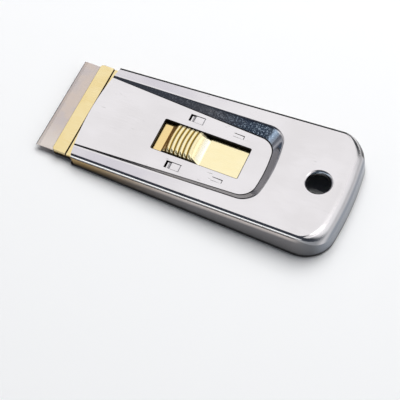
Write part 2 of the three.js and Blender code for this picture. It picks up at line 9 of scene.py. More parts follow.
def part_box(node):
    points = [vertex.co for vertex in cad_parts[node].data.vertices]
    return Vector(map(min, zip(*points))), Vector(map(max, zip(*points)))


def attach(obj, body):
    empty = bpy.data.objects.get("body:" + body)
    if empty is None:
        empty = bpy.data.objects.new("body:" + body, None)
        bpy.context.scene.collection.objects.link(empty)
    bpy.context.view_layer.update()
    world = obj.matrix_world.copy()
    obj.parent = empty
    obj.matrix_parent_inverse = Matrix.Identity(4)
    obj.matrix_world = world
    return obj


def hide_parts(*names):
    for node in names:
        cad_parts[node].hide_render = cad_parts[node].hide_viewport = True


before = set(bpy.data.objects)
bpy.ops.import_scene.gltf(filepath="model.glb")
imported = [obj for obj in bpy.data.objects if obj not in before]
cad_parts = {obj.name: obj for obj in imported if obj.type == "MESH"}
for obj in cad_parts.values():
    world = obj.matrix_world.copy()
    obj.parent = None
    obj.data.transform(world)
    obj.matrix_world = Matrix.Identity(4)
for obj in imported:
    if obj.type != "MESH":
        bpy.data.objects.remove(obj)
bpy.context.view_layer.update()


# Lower jaw plate: 1 mm sheet, brass plated, that carries the blade. It steps up behind the blade and lies
# there against the slide plate, to which two rivets hold it.

MM = 0.001
BRASS_PALE = (0.905, 0.765, 0.445, 1)
BRASS_WARM = (0.845, 0.665, 0.320, 1)
SIDE_SHADE = (0.03, 0.02, 0.01, 1)
BRASS_STREAKS = (0.25, 5, 5)
BRASS_CLOUDS = (0.12, 0.16, 0.2)
STREAK_SHARE, CLOUD_SHARE = 0.6, 0.4
STREAK_DEPTH = 0.004
PALER_REACH = (0.3, 0.7)
BRASS_SMOOTH, BRASS_ROUGHER = 0.1, 0.1
SIDE_SHADE_LEAN = (0.1, 0.7)


class Wire:
    """Output of a shader node. Sums and products of wires and numbers become Math nodes."""

    def __init__(self, tree, socket=None):
        self.tree = tree
        self.socket = socket

    def node(self, kind, settings=None, inputs=None, output=0):
        """Adds a node, its settings first and then its sockets, and gives one of its outputs."""
        made = self.tree.nodes.new(kind)
        for name, value in (settings or {}).items():
            setattr(made, name, value)
        for name, value in (inputs or {}).items():
            if isinstance(value, Wire):
                value.feed(made.inputs[name])
            else:
                made.inputs[name].default_value = value
        return Wire(self.tree, made.outputs[output])

    def feed(self, socket):
        self.tree.links.new(self.socket, socket)

    def math(self, operation, one, two):
        return self.node("ShaderNodeMath", {"operation": operation}, {0: one, 1: two})

    def unsigned(self):
        return self.math("ABSOLUTE", self, 0)

    def axis(self, name):
        return self.node("ShaderNodeSeparateXYZ", None, {0: self}, output=name)

    def __add__(self, other):
        return self.math("ADD", self, other)

    def __radd__(self, other):
        return self.math("ADD", other, self)

    def __sub__(self, other):
        return self.math("SUBTRACT", self, other)

    def __rsub__(self, other):
        return self.math("SUBTRACT", other, self)

    def __mul__(self, other):
        return self.math("MULTIPLY", self, other)

    def __rmul__(self, other):
        return self.math("MULTIPLY", other, self)


def metal(name):
    """New bare metal, with its shader and a wire that gives the place on the object in millimetres."""
    material = bpy.data.materials.new(name)
    material.use_nodes = True
    shader = material.node_tree.nodes["Principled BSDF"]
    shader.inputs["Metallic"].default_value = 1
    bench = Wire(material.node_tree)
    place = bench.node("ShaderNodeTexCoord", output="Object")
    in_mm = {0: place, "Scale": 1 / MM}
    return material, shader, bench.node("ShaderNodeVectorMath", {"operation": "SCALE"}, in_mm)


def grain(place, per_mm, detail=3):
    """Noise from 0 to 1 with so many features to the millimetre along X, Y and Z."""
    stretched = place.node("ShaderNodeVectorMath", {"operation": "MULTIPLY"}, {0: place, 1: per_mm})
    return place.node("ShaderNodeTexNoise", None, {"Vector": stretched, "Scale": 1, "Detail": detail})


def fade(value, low, high):
    """Smooth change from 0 to 1 as the value passes from low to high."""
    reach = {"Value": value, "From Min": low, "From Max": high}
    return value.node("ShaderNodeMapRange", {"interpolation_type": "SMOOTHSTEP"}, reach)


def tint(share, one, two):
    """Colour that passes from one to two with the share."""
    return share.node("ShaderNodeMix", {"data_type": "RGBA"}, {0: share, 6: one, 7: two}, output=2)


def relief(height, depth_mm):
    """Surface normal of a fine relief of that depth."""
    return height.node("ShaderNodeBump", None, {"Height": height, "Strength": 1, "Distance": depth_mm * MM})


def facing(place):
    """Direction in which the surface looks."""
    return place.node("ShaderNodeNewGeometry", output="Normal")


def brass_plating(name):
    """Rolled sheet with a brass plating. Gives the share of its paler tone too, for the colour."""
    material, shader, place = metal(name)
    streaks = grain(place, BRASS_STREAKS)
    clouds = grain(place, BRASS_CLOUDS, detail=2)
    (BRASS_SMOOTH + BRASS_ROUGHER * streaks).feed(shader.inputs["Roughness"])
    relief(streaks, STREAK_DEPTH).feed(shader.inputs["Normal"])
    return material, shader, place, fade(STREAK_SHARE * streaks + CLOUD_SHARE * clouds, *PALER_REACH)


def plain_brass():
    material, shader, place, paler = brass_plating("plain_brass")
    upright = facing(place).axis("Z")
    sheet = tint(paler, BRASS_WARM, BRASS_PALE)
    # Faces that lean from upright, the plate's sides and underside, are painted near black: painted shade.
    tint(fade(upright, *SIDE_SHADE_LEAN), SIDE_SHADE, sheet).feed(shader.inputs["Base Color"])
    return material


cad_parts["blade_plate"].material_slots[0].material = plain_brass()


# Blade pegs: two turned steel pegs, riveted into the lower plate, that stand through the blade's holes and
# keep it square in the jaws.

RIVET_GREY = (0.56, 0.535, 0.49, 1)
RIVET_DULL = (0.43, 0.41, 0.37, 1)
RIVET_PITS = (3, 3, 3)
PIT_DEPTH = 0.01
RIVET_SMOOTH, RIVET_ROUGHER = 0.26, 0.16
MOTTLE = (0.35, 0.65)


def plain_steel():
    material, shader, place = metal("plain_steel")
    pits = grain(place, RIVET_PITS, detail=4)
    tint(fade(pits, *MOTTLE), RIVET_DULL, RIVET_GREY).feed(shader.inputs["Base Color"])
    (RIVET_SMOOTH + RIVET_ROUGHER * pits).feed(shader.inputs["Roughness"])
    relief(pits, PIT_DEPTH).feed(shader.inputs["Normal"])
    return material


rivet_steel = plain_steel()
for hand in ("right", "left"):
    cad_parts["blade_peg_" + hand].material_slots[0].material = rivet_steel


# Blade: hardened strip steel 40 mm wide and 0.3 mm thick, rolled, with two flats ground to a cutting edge.
# It is clamped between the jaws and can be changed.

STRIP_GREY = (0.60, 0.535, 0.52, 1)
STRIP_BEIGE = (0.66, 0.56, 0.50, 1)
STRIP_PALE = (0.74, 0.665, 0.615, 1)
HONED_SHADE = (0.16, 0.15, 0.15, 1)
HONED_REACH = (0.18, 0.3)
STRIP_STAINS = (0.14, 0.14, 0.2)
STAIN_REACH = (0.35, 0.62)
STAIN_WANDER = 6
PALE_SIDE = (-16, -4)
STRIP_ROLLING = (0.4, 8, 8)
STRIP_DEPTH = 0.003
STRIP_SMOOTH, STRIP_ROUGHER = 0.2, 0.1


def hardened_strip():
    material, shader, place = metal("hardened_strip")
    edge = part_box("blade")[0].x / MM
    stains = grain(place, STRIP_STAINS, detail=2)
    rolling = grain(place, STRIP_ROLLING)
    honed = 1 - fade(place.axis("X") - edge, *HONED_REACH)
    strip = tint(fade(stains, *STAIN_REACH), STRIP_GREY, STRIP_BEIGE)
    strip = tint(1 - fade(place.axis("Y") + STAIN_WANDER * stains, *PALE_SIDE), strip, STRIP_PALE)
    # A narrow band along the ground edge is painted dark: a painted dark reflection of the bevel.
    tint(honed, strip, HONED_SHADE).feed(shader.inputs["Base Color"])
    (STRIP_SMOOTH + STRIP_ROUGHER * rolling).feed(shader.inputs["Roughness"])
    relief(rolling, STRIP_DEPTH).feed(shader.inputs["Normal"])
    return material


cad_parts["blade"].material_slots[0].material = hardened_strip()


# Slide plate: 0.55 mm sheet, brass plated. Its front edge is folded back over itself into a hem that
# presses on the blade, and a ribbed thumb hump is drawn up from it behind the jaws.

SLIDE_LOW, SLIDE_HIGH = (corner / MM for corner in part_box("slide_plate"))
HEM_WIDTH = 5.2
SLIDE_SHEET = 0.55
NOSE_ROUND = 0.2
HEM_ROLL = 0.1
HEM_SLIT = 0.04
DECK_GAP = 0.6
FRONT_BOW = 2.3
JAW_CORNER = 1.2
LAP_REAR = 15.5
NECK_HALF = 14
SHOULDER = 4
TAIL_CORNER = 2
PEG_HOLE, PEG_STATION, PEG_SPREAD = 1.6, 1, 12
RIVET_HOLE, RIVET_STATION, RIVET_SPREAD = 1.3, 11.5, 10
CATCH_LENGTH = 2.2
CATCH_CORNER = 0.2
LOCK_CATCH, LOCK_WIDTH = 33.5, 3.1
PARK_CATCH, PARK_WIDTH = 36.8, 1.6
TONGUE_SPACING = 9.3
HUMP_FRONT = 28
HUMP_LENGTH = 15
HUMP_HALF = 6.5
HUMP_HEIGHT = 2.95
HUMP_FRONT_RUN = 2.1
RIB_LEAD = 1.35
HUMP_REAR_RUN = 3.8
RAMP_EASE = 0.15
HUMP_EDGE, HUMP_SHOULDER = 1.8, 2
FOOT_SHARE, SHOULDER_SHARE = 0.2, 0.7
CROWN = 0.06
HUMP_FOOT = 0.3
HUMP_APRON = 0.25
RIB_COUNT = 6
RIB_DEPTH = 0.36
RIB_SHARPNESS = 0.6
RIB_BOW = 0.6
ROUND_STEPS = 8
ROLL_STEPS = 4
BEND_STEPS = 12
HOLE_FACETS = 32
CROWN_STEPS = 16
RIB_STEPS = 12
SLOPE_STEPS = 24
WELD = 0.002
FILL_MERGE = 0.0002
CREASE = radians(38)
INSIDE_ONLY = 1

SLIDE_BOTTOM = SLIDE_LOW.z
SLIDE_TOP = SLIDE_BOTTOM + SLIDE_SHEET
HEM_TOP = SLIDE_TOP + SLIDE_SHEET
JAW_HALF = SLIDE_HIGH.y
JAW_FRONT = -HEM_WIDTH - FRONT_BOW
MOUTH_X = SLIDE_LOW.x - JAW_FRONT
HEM_REAR = JAW_FRONT + HEM_WIDTH
DECK_FRONT = HEM_REAR + DECK_GAP
TAIL_REAR = SLIDE_HIGH.x - MOUTH_X
HUMP_REAR = HUMP_FRONT + HUMP_LENGTH
RIB_START = HUMP_FRONT + RIB_LEAD
RIB_END = HUMP_REAR - HUMP_REAR_RUN


class Pressing:
    """Patches of one pressed piece, in millimetres from the handle's front corners, welded into a mesh."""

    def __init__(self):
        self.points = []
        self.faces = []
        self.finish = 0
        self.finishes = []

    def add(self, row):
        first = len(self.points)
        self.points.extend(Vector(point) for point in row)
        return range(first, len(self.points))

    def strip(self, rows, closed=False):
        """Quads between rows of points that run alike."""
        marks = [self.add(row) for row in rows]
        for one, two in zip(marks, marks[1:]):
            last = len(one) if closed else len(one) - 1
            for i in range(last):
                j = (i + 1) % len(one)
                self.faces.append((one[i], one[j], two[j], two[i]))
                self.finishes.append(self.finish)

    def fill(self, outline, holes=(), across=(0, 1)):
        """Triangles inside a flat outline and outside its holes. across gives the two axes it spans."""
        marks = []
        loops = []
        for loop in (outline, *holes):
            loops.append(list(range(len(marks), len(marks) + len(loop))))
            marks.extend(self.add(loop))
        flat = [Vector([self.points[mark][axis] for axis in across]) for mark in marks]
        for loop in loops:
            area = sum(flat[i].cross(flat[j]) for i, j in zip(loop, loop[1:] + loop[:1]))
            if area < 0:
                loop.reverse()
        filled = delaunay_2d_cdt(flat, [], loops, INSIDE_ONLY, FILL_MERGE)
        triangles, sources, owners = filled[2], filled[3], filled[5]
        for face, owner in zip(triangles, owners):
            if owner == [0]:
                self.faces.append(tuple(marks[sources[i][0]] for i in face))
                self.finishes.append(self.finish)

    def piece(self, name, body, slot, materials, *nodes):
        """Welds the patches, and puts the piece on its body in place of the nodes."""
        mesh = bpy.data.meshes.new(name)
        shift = Vector((MOUTH_X, 0, 0))
        mesh.from_pydata([(point + shift) * MM for point in self.points], [], self.faces)
        mesh.polygons.foreach_set("material_index", self.finishes)
        work = bmesh.new()
        work.from_mesh(mesh)
        bmesh.ops.remove_doubles(work, verts=work.verts, dist=WELD * MM)
        bmesh.ops.dissolve_degenerate(work, edges=work.edges, dist=WELD * MM)
        bmesh.ops.recalc_face_normals(work, faces=work.faces)
        work.to_mesh(mesh)
        work.free()
        mesh.shade_smooth()
        mesh.set_sharp_from_angle(angle=CREASE)
        for material in materials:
            mesh.materials.append(material)
        made = bpy.data.objects.new(name, mesh)
        bpy.context.scene.collection.objects.link(made)
        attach(made, body)
        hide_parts(*nodes)
        return made


def spread(first, last, steps):
    return [first + (last - first) * i / steps for i in range(steps + 1)]


def level(plan, height):
    return [(x, y, height) for x, y in plan]


def arc(x, y, radius, start, end, steps=ROUND_STEPS):
    return [(x + radius * cos(turn), y + radius * sin(turn)) for turn in spread(start, end, steps)]


def rounded_box(front, rear, low, high, corner):
    """Plan of an opening with round corners."""
    return (
        arc(rear - corner, low + corner, corner, -pi / 2, 0)
        + arc(rear - corner, high - corner, corner, 0, pi / 2)
        + arc(front + corner, high - corner, corner, pi / 2, pi)
        + arc(front + corner, low + corner, corner, pi, 1.5 * pi)
    )


def ease(t):
    t = min(max(t, 0), 1)
    return t * t * (3 - 2 * t)


def hem_section(y):
    """Section through the hem from the deck's top, into the fold, round the nose and back under."""
    past = max(abs(y) - (JAW_HALF - JAW_CORNER), 0)
    front = JAW_FRONT + JAW_CORNER - sqrt(max(JAW_CORNER**2 - past**2, 0))
    nose = arc(front + NOSE_ROUND, HEM_TOP - NOSE_ROUND, NOSE_ROUND, pi / 2, pi)
    nose += arc(front + NOSE_ROUND, SLIDE_BOTTOM + NOSE_ROUND, NOSE_ROUND, pi, 1.5 * pi)
    roll = arc(HEM_REAR - HEM_ROLL, HEM_TOP - HEM_ROLL, HEM_ROLL, 0, pi / 2, ROLL_STEPS)
    fold = front + SLIDE_SHEET
    section = [(DECK_FRONT, SLIDE_TOP), (fold, SLIDE_TOP), (fold, SLIDE_TOP + HEM_SLIT)]
    section += [(HEM_REAR, SLIDE_TOP + HEM_SLIT), *roll, *nose, (DECK_FRONT, SLIDE_BOTTOM)]
    return [(x, y, z) for x, z in section]


def hump_ring(station, inset):
    """One arch of the hump from side to side, with its apron on the deck. inset draws it in."""
    front = sqrt(min(1, (station - HUMP_FRONT) / HUMP_FRONT_RUN))
    down = min(max((station - RIB_END) / HUMP_REAR_RUN, 0), 1)
    down += RAMP_EASE * (ease(down) - down)
    along = min(front, 1 - down)
    ribs = min(max((station - RIB_START) * RIB_COUNT / (RIB_END - RIB_START), 0), RIB_COUNT)
    groove = RIB_DEPTH * (1 - abs(sin(pi * ribs)) ** RIB_SHARPNESS)
    height = max((HUMP_HEIGHT - groove) * along - inset, 0)
    half = HUMP_HALF - groove - inset
    foot = min(HUMP_FOOT, FOOT_SHARE * height)
    x = station + inset * (1 - 2 * (station - HUMP_FRONT) / HUMP_LENGTH)
    flank = height * (1 - CROWN)
    edge = HUMP_EDGE - inset
    shoulder = min(HUMP_SHOULDER - inset, SHOULDER_SHARE * height)
    side = [(half + HUMP_FOOT + HUMP_APRON, 0)]
    for turn in spread(pi / 2, 0, ROUND_STEPS // 2):
        side.append((half + HUMP_FOOT - HUMP_FOOT * cos(turn), foot * (1 - sin(turn))))
    for turn in spread(0, pi / 2, ROUND_STEPS):
        side.append((half - edge * (1 - cos(turn)), flank - shoulder * (1 - sin(turn))))
    for share in spread(1, 0, CROWN_STEPS)[1:]:
        side.append(((half - edge) * share, flank + CROWN * height * (1 - share**2)))
    deck = SLIDE_TOP - inset
    bow = RIB_BOW * min(1, (station - HUMP_FRONT) / RIB_LEAD) * (1 - down) / HUMP_HALF**2
    near = [(x + bow * y**2, -y, deck + z) for y, z in side[:-1]]
    far = [(x + bow * y**2, y, deck + z) for y, z in side]
    return near + far[::-1]


def hump_rings(inset):
    stations = [HUMP_FRONT + RIB_LEAD * (i / ROUND_STEPS) ** 2 for i in range(ROUND_STEPS)]
    stations += spread(RIB_START, RIB_END, RIB_COUNT * RIB_STEPS)
    stations += spread(RIB_END, HUMP_REAR, SLOPE_STEPS)[1:]
    return [hump_ring(station, inset) for station in stations]


def rim_of(rings):
    """Line around the foot of the hump."""
    near = [ring[0] for ring in rings[1:]]
    far = [ring[-1] for ring in rings[-2:0:-1]]
    return near + rings[-1][1:] + far + rings[0][:0:-1] + rings[0][:1]


def slide_plate():
    sheet = Pressing()
    ends = [JAW_HALF - JAW_CORNER + JAW_CORNER * sin(turn) for turn in spread(0, pi / 2, ROUND_STEPS)]
    stations = [-y for y in ends[::-1]] + ends
    sections = [hem_section(y) for y in stations]
    sheet.strip(sections)
    sheet.fill(sections[0], across=(0, 2))
    sheet.fill(sections[-1], across=(0, 2))

    bend = []
    for t in spread(0, 1, BEND_STEPS):
        bend.append((LAP_REAR + SHOULDER * t**2, JAW_HALF + (NECK_HALF - JAW_HALF) * t * (2 - t)))
    corner = arc(TAIL_REAR - TAIL_CORNER, NECK_HALF - TAIL_CORNER, TAIL_CORNER, pi / 2, 0)
    far_side = [(DECK_FRONT, JAW_HALF), *bend, *corner]
    near_side = [(x, -y) for x, y in far_side]
    side = near_side + far_side[::-1]
    front = [(DECK_FRONT, y) for y in stations[::-1]][1:-1]

    openings = []
    for way in (-1, 1):
        for station, width in ((LOCK_CATCH, LOCK_WIDTH), (PARK_CATCH, PARK_WIDTH)):
            low, high = sorted((way * TONGUE_SPACING, way * (TONGUE_SPACING + width)))
            openings.append(rounded_box(station, station + CATCH_LENGTH, low, high, CATCH_CORNER))
        openings.append(arc(PEG_STATION, way * PEG_SPREAD, PEG_HOLE, 0, 2 * pi, HOLE_FACETS)[:-1])
        openings.append(arc(RIVET_STATION, way * RIVET_SPREAD, RIVET_HOLE, 0, 2 * pi, HOLE_FACETS)[:-1])

    outer, inner = hump_rings(0), hump_rings(SLIDE_SHEET)
    sheet.strip(outer)
    sheet.strip(inner)
    for height, rings in ((SLIDE_TOP, outer), (SLIDE_BOTTOM, inner)):
        holes = [level(opening, height) for opening in openings]
        sheet.fill(level(side + front, height), [*holes, rim_of(rings)])
    for opening in openings:
        sheet.strip([level(opening, SLIDE_TOP), level(opening, SLIDE_BOTTOM)], closed=True)
    sheet.strip([level(side, SLIDE_TOP), level(side, SLIDE_BOTTOM)])
    return sheet


BRASS_FRESH = (0.99, 0.885, 0.575, 1)
BRASS_CLEAN = (0.97, 0.845, 0.505, 1)
BRASS_RUBBED = (0.89, 0.67, 0.32, 1)
BRASS_BROWN = (0.42, 0.27, 0.004, 1)
BRASS_SHADED = (0.85, 0.43, 0.12, 1)
BRASS_HIGHLIGHT = (0.99, 0.945, 0.80, 1)
BRASS_EASED = (0.90, 0.785, 0.485, 1)
FOLD_SHADOW = (0.035, 0.02, 0.008, 1)
TRACK_SHADE = (0.03, 0.025, 0.02, 1)
RUBBED_DECK = (18, 24)
THUMBED_DECK = (29.3, 31.5)
STEEP_FACE = (-0.75, -0.4)
RIBS_BEGIN = (RIB_START + 0.3, RIB_START + 0.5)
RIBS_STOP = (RIB_END - 0.8, RIB_END + 0.2)
HALF_PITCH = 0.5
GROOVE_REACH = (0.1, 0.25)
GROOVE_STRENGTH = 0.95
HUMP_FLANK = (HUMP_HALF, HUMP_HALF + 0.1)
RAMP_START = (RIB_END + 1, RIB_END + 2.5)
RAMP_STOP = (RIB_END + 3, RIB_END + 3.8)
RAMP_SIDES = (4, 6)
SLACK_START = (RIB_END, RIB_END + 0.3)
SLACK_STOP = (RIB_END + 1, RIB_END + 1.8)
RIB_ENDS_BEGIN = (RIB_START, RIB_START + 1)
RIB_ENDS_STOP = (RIB_END, RIB_END + 2)
RIB_ENDS_SIDES = (4.4, 5.2)
METAL_DROP = 0.22
FOLD_NEAR, FOLD_FAR = (-0.14, -0.02), (0.3, 0.5)
FOLD_WANDER = 0.2
TRACK_INNER = (TONGUE_SPACING - 0.2, TONGUE_SPACING)
TRACK_OUTER = (TONGUE_SPACING + LOCK_WIDTH, TONGUE_SPACING + LOCK_WIDTH + 0.2)
TRACK_START, TRACK_STOP = (19, 20), (37, 38)
LIP_NEAR, LIP_FAR = (-0.2, 0.15), (3, 5)
LIP_FRONT = (-2.2, -2)


def between(value, start, stop):
    """Share that comes up over the first reach and goes down over the second."""
    return fade(value, *start) * (1 - fade(value, *stop))


def handled_brass():
    material, shader, place, paler = brass_plating("handled_brass")
    along = place.axis("X") - MOUTH_X
    across = place.axis("Y").unsigned()

    behind = fade(along, *RUBBED_DECK)
    thumbed = fade(along, *THUMBED_DECK)
    low = tint(thumbed, tint(behind, BRASS_WARM, BRASS_RUBBED), BRASS_CLEAN)
    high = tint(thumbed, tint(behind, BRASS_PALE, BRASS_RUBBED), BRASS_FRESH)
    plate = tint(paler, low, high)

    rib_pitch = (RIB_END - RIB_START) / RIB_COUNT
    on_ribs = along - (RIB_BOW / HUMP_HALF**2) * across * across
    from_groove = place.math("PINGPONG", (on_ribs - RIB_START) * (1 / rib_pitch), HALF_PITCH)
    groove = (1 - fade(from_groove, *GROOVE_REACH)) * (1 - fade(across, *HUMP_FLANK))
    groove = between(along, RIBS_BEGIN, RIBS_STOP) * groove
    # The ramp behind the ribs is painted near white: a painted highlight.
    ramp_highlight = between(along, RAMP_START, RAMP_STOP) * (1 - fade(across, *RAMP_SIDES))
    plate = tint(ramp_highlight, plate, BRASS_HIGHLIGHT)
    plate = tint(between(along, SLACK_START, SLACK_STOP), plate, BRASS_EASED)
    # Faces that look forward, behind the jaws, are painted a shaded brown: painted shade. They and the rib
    # ends are also made less metallic.
    shaded_front = behind * (1 - fade(facing(place).axis("X"), *STEEP_FACE))
    plate = tint(shaded_front, plate, BRASS_SHADED)
    rib_ends = between(along, RIB_ENDS_BEGIN, RIB_ENDS_STOP) * fade(across, *RIB_ENDS_SIDES)
    (1 - METAL_DROP * place.math("MAXIMUM", shaded_front, rib_ends)).feed(shader.inputs["Metallic"])
    plate = tint(GROOVE_STRENGTH * groove, plate, BRASS_BROWN)

    # Painted shadow lines on the deck: one along the hem's rear edge and one along the handle's bowed front
    # edge.
    from_fold = along - HEM_REAR
    painted_shadow = fade(from_fold, *FOLD_NEAR) * (1 - fade(from_fold + FOLD_WANDER * paler, *FOLD_FAR))
    plate = tint(painted_shadow, plate, FOLD_SHADOW)
    past_mouth = along + FRONT_BOW - (FRONT_BOW / JAW_HALF**2) * across * across
    lip_shadow = fade(past_mouth, *LIP_NEAR) * between(along, LIP_FRONT, LIP_FAR)
    plate = tint(lip_shadow, plate, FOLD_SHADOW)
    # A band under the lock tongues is painted near black: painted shade seen through their mouths.
    shaded_track = between(across, TRACK_INNER, TRACK_OUTER) * between(along, TRACK_START, TRACK_STOP)
    tint(shaded_track, plate, TRACK_SHADE).feed(shader.inputs["Base Color"])
    return material


slide_plate().piece("brass_slide", "carriage", "brass_plate", [handled_brass()], "slide_plate")


# Jaw rivets: two plain steel rivets behind the blade. Each is headed under the lower plate and set over the
# slide plate, so that the two jaws hold together and spring apart in front.

for hand in ("right", "left"):
    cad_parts["jaw_rivet_" + hand].material_slots[0].material = rivet_steel


# Handle shell: one pressing of 0.8 mm bright sheet steel. A panel is sunk into its top, the thumb window
# and the spring tongues are cut from that panel, the hanging hole is drawn down and the foot is turned in.

SHELL_SHEET = 0.8
SIDE_LEAN = 0.123
SIDE_FLARE = 3.6
FRONT_STEP = 0.3
MOUTH_SET = 0.45
REAR_HEIGHT = 10.5
REAR_BOW = 130
REAR_CORNER = 11
EDGE_ROUND = 1.3
REAR_ROUND = 5
FOOT_ROUND = 0.7
FLANGE_WIDTH = 4.5
NOTCH_LENGTH = 1.8
RAIL_WIDTH = 5.0
WINDOW_FRONT, WINDOW_REAR, WINDOW_HALF = 24.7, 57.5, 6.65
WINDOW_CORNER = 0.35
PUNCH_ROUND = 0.28
BRIM_REAR = 69.1
BRIM_CORNER = 7
FLOOR_CORNER = 6
RECESS_BOW = 60
SIDE_WALL_EASE = 0.8
SIDE_WALL_RATE = 0.95
REAR_WALL_RUN = 3.9
WALL_FOOT = 0.1
WALL_MIDDLE = 0.5
WALL_BRIM = 0.26
HANDLE_REAR = 98
HOLE_STATION = 85
HOLE_RADIUS = 4.25
LIP_ROUND = 1.1
COLLAR_DEPTH = 1.9
COLLAR_FILLET = 0.4
LOCK_FRONT, LOCK_REAR, LOCK_MOUTH, LOCK_DROP = 32.1, 37.8, 0.7, 0.55
PARK_FRONT, PARK_REAR, PARK_MOUTH, PARK_DROP = 49.4, 53.4, 0.3, 0.3
SLIT = 0.2
ROOT_LENGTH = 0.09
ROOT_SHARE = 0.28
LOCK_BEND = (0.54, 0.9)
PARK_BEND = (0, 1)
BRIGHT, DRAWN, DULL, DARK = range(4)
PANEL_GAP = 0.3
SIDE_GAP = 0.2
GUARD = 0.35
FRONT_TRIES = 6
SIDE_STEPS = 12
EDGE_STEPS = 12
CORNER_STEPS = 20
BOW_STEPS = 12
BRIM_STEPS = 16
TONGUE_STEPS = 24
ARC_STEPS = 24
HOLE_STEPS = 72

PANEL_BOTTOM = HEM_TOP + PANEL_GAP
PANEL_TOP = PANEL_BOTTOM + SHELL_SHEET
FRONT_HEIGHT = PANEL_TOP + FRONT_STEP
FOOT_HALF = JAW_HALF + SIDE_GAP + SHELL_SHEET + SIDE_LEAN * HEM_TOP
FLARE_RATE = SIDE_FLARE / HANDLE_REAR
RISE_RATE = (REAR_HEIGHT - FRONT_HEIGHT) / HANDLE_REAR
FRONT_RADIUS = (FOOT_HALF**2 + FRONT_BOW**2) / (2 * FRONT_BOW)


def top_height(x):
    return FRONT_HEIGHT + RISE_RATE * x


def front_arc(y, z=0):
    """Station of the bowed front edge."""
    return MOUTH_SET + FRONT_RADIUS - FRONT_BOW - sqrt(FRONT_RADIUS**2 - y**2)


def mouth(y, z):
    """Station of the front edge of the side walls, which are cut back above the foot."""
    notch = NOTCH_LENGTH * (HEM_TOP - z) / (HEM_TOP - SHELL_SHEET)
    return max(front_arc(y), min(notch, NOTCH_LENGTH))


def notch_end(y, z):
    return NOTCH_LENGTH


def blunt_side(half, rate, rear, bow, corner):
    """One side of a plan with tapered sides and a bowed rear, as points with their outward normals."""
    slant = hypot(1, rate)
    bow_centre = rear - bow
    reach = bow - corner
    base = half - corner * slant
    a = 1 + rate * rate
    b = rate * base - bow_centre
    c = bow_centre**2 + base**2 - reach**2
    corner_x = (-b + sqrt(b * b - a * c)) / a
    corner_y = base + rate * corner_x
    side_turn = atan2(1, -rate)
    bow_turn = atan2(corner_y, corner_x - bow_centre)
    ahead = -2 * FRONT_BOW
    side = [(ahead, half + rate * ahead, cos(side_turn), sin(side_turn))]
    for turn in spread(side_turn, bow_turn, CORNER_STEPS):
        side.append((corner_x + corner * cos(turn), corner_y + corner * sin(turn), cos(turn), sin(turn)))
    for turn in spread(bow_turn, 0, BOW_STEPS)[1:]:
        side.append((bow_centre + bow * cos(turn), bow * sin(turn), cos(turn), sin(turn)))
    return side


def course(side, place, front):
    """Row of points around the handle, from its far front end by the rear to its near front end."""
    posts = [Vector(place(*post)) for post in side]
    ahead, behind = posts[0], posts[1]
    start = ahead
    for again in range(FRONT_TRIES):
        share = (front(start.y, start.z) - ahead.x) / (behind.x - ahead.x)
        start = ahead.lerp(behind, share)
    far = [start.lerp(behind, i / SIDE_STEPS) for i in range(SIDE_STEPS)] + posts[1:]
    near = [Vector((p.x, -p.y, p.z)) for p in far[-2::-1]]
    return far + near


def wall_shape(rise):
    """Height and slope of the sunk panel's wall, straight between a tight foot and a broad brim."""
    slope = 1 / (1 - (WALL_FOOT + WALL_BRIM) / 2)
    if rise < WALL_FOOT:
        return slope * rise**2 / (2 * WALL_FOOT), slope * rise / WALL_FOOT
    if rise > 1 - WALL_BRIM:
        left = 1 - rise
        return 1 - slope * left**2 / (2 * WALL_BRIM), slope * left / WALL_BRIM
    return slope * (rise - WALL_FOOT / 2), slope


def recess_rows(sheet):
    """Courses of the sunk panel's walls from its floor to the brim, or of their underside."""
    def wall(rise, inset=0):
        brim = FOOT_HALF - RAIL_WIDTH
        half = brim - (1 - rise) * (SIDE_WALL_EASE + SIDE_WALL_RATE * FRONT_STEP)
        rate = -(1 - rise) * SIDE_WALL_RATE * RISE_RATE
        rear = BRIM_REAR - (1 - rise) * REAR_WALL_RUN
        corner = FLOOR_CORNER + (BRIM_CORNER - FLOOR_CORNER) * rise
        share, steep = wall_shape(rise)

        def place(x, y, nx, ny):
            depth = top_height(x) - PANEL_TOP
            slope = steep * depth / (SIDE_WALL_EASE + SIDE_WALL_RATE * depth)
            slant = hypot(1, slope)
            x -= inset * nx
            lift = (top_height(x) - PANEL_TOP) * share
            out = sheet * slope / slant
            return x + out * nx, y - (inset - out) * ny, PANEL_TOP + lift - sheet / slant

        return course(blunt_side(half, rate, rear, RECESS_BOW, corner), place, front_arc)

    rises = spread(0, WALL_FOOT, ROUND_STEPS) + [WALL_MIDDLE] + spread(1 - WALL_BRIM, 1, BRIM_STEPS)
    return [wall(0, GUARD), *(wall(rise) for rise in rises), wall(1, -GUARD)]


FOOT_SIDE = blunt_side(FOOT_HALF, FLARE_RATE, HANDLE_REAR, REAR_BOW, REAR_CORNER)


def round_edge(sheet, turn, guard, front):
    """Course of the round top edge, which is broader along the rear. turn goes from the top to the wall."""
    def place(x, y, nx, ny):
        radius = EDGE_ROUND + (REAR_ROUND - EDGE_ROUND) * ease(nx) - sheet
        drop = sheet + radius * (1 - sin(turn))
        inset = sheet + radius * (1 - cos(turn)) + guard
        still = SIDE_LEAN * (FRONT_HEIGHT - drop) + inset
        x = (x - nx * still) / (1 + nx * SIDE_LEAN * RISE_RATE)
        z = top_height(x) - drop
        return x, y - ny * (SIDE_LEAN * z + inset), z

    return course(FOOT_SIDE, place, front)


def at_height(z, inset, front):
    """Course of the outside at one height, so far inside the leaning walls."""
    def place(x, y, nx, ny):
        move = SIDE_LEAN * z + inset
        return x - nx * move, y - ny * move, z

    return course(FOOT_SIDE, place, front)


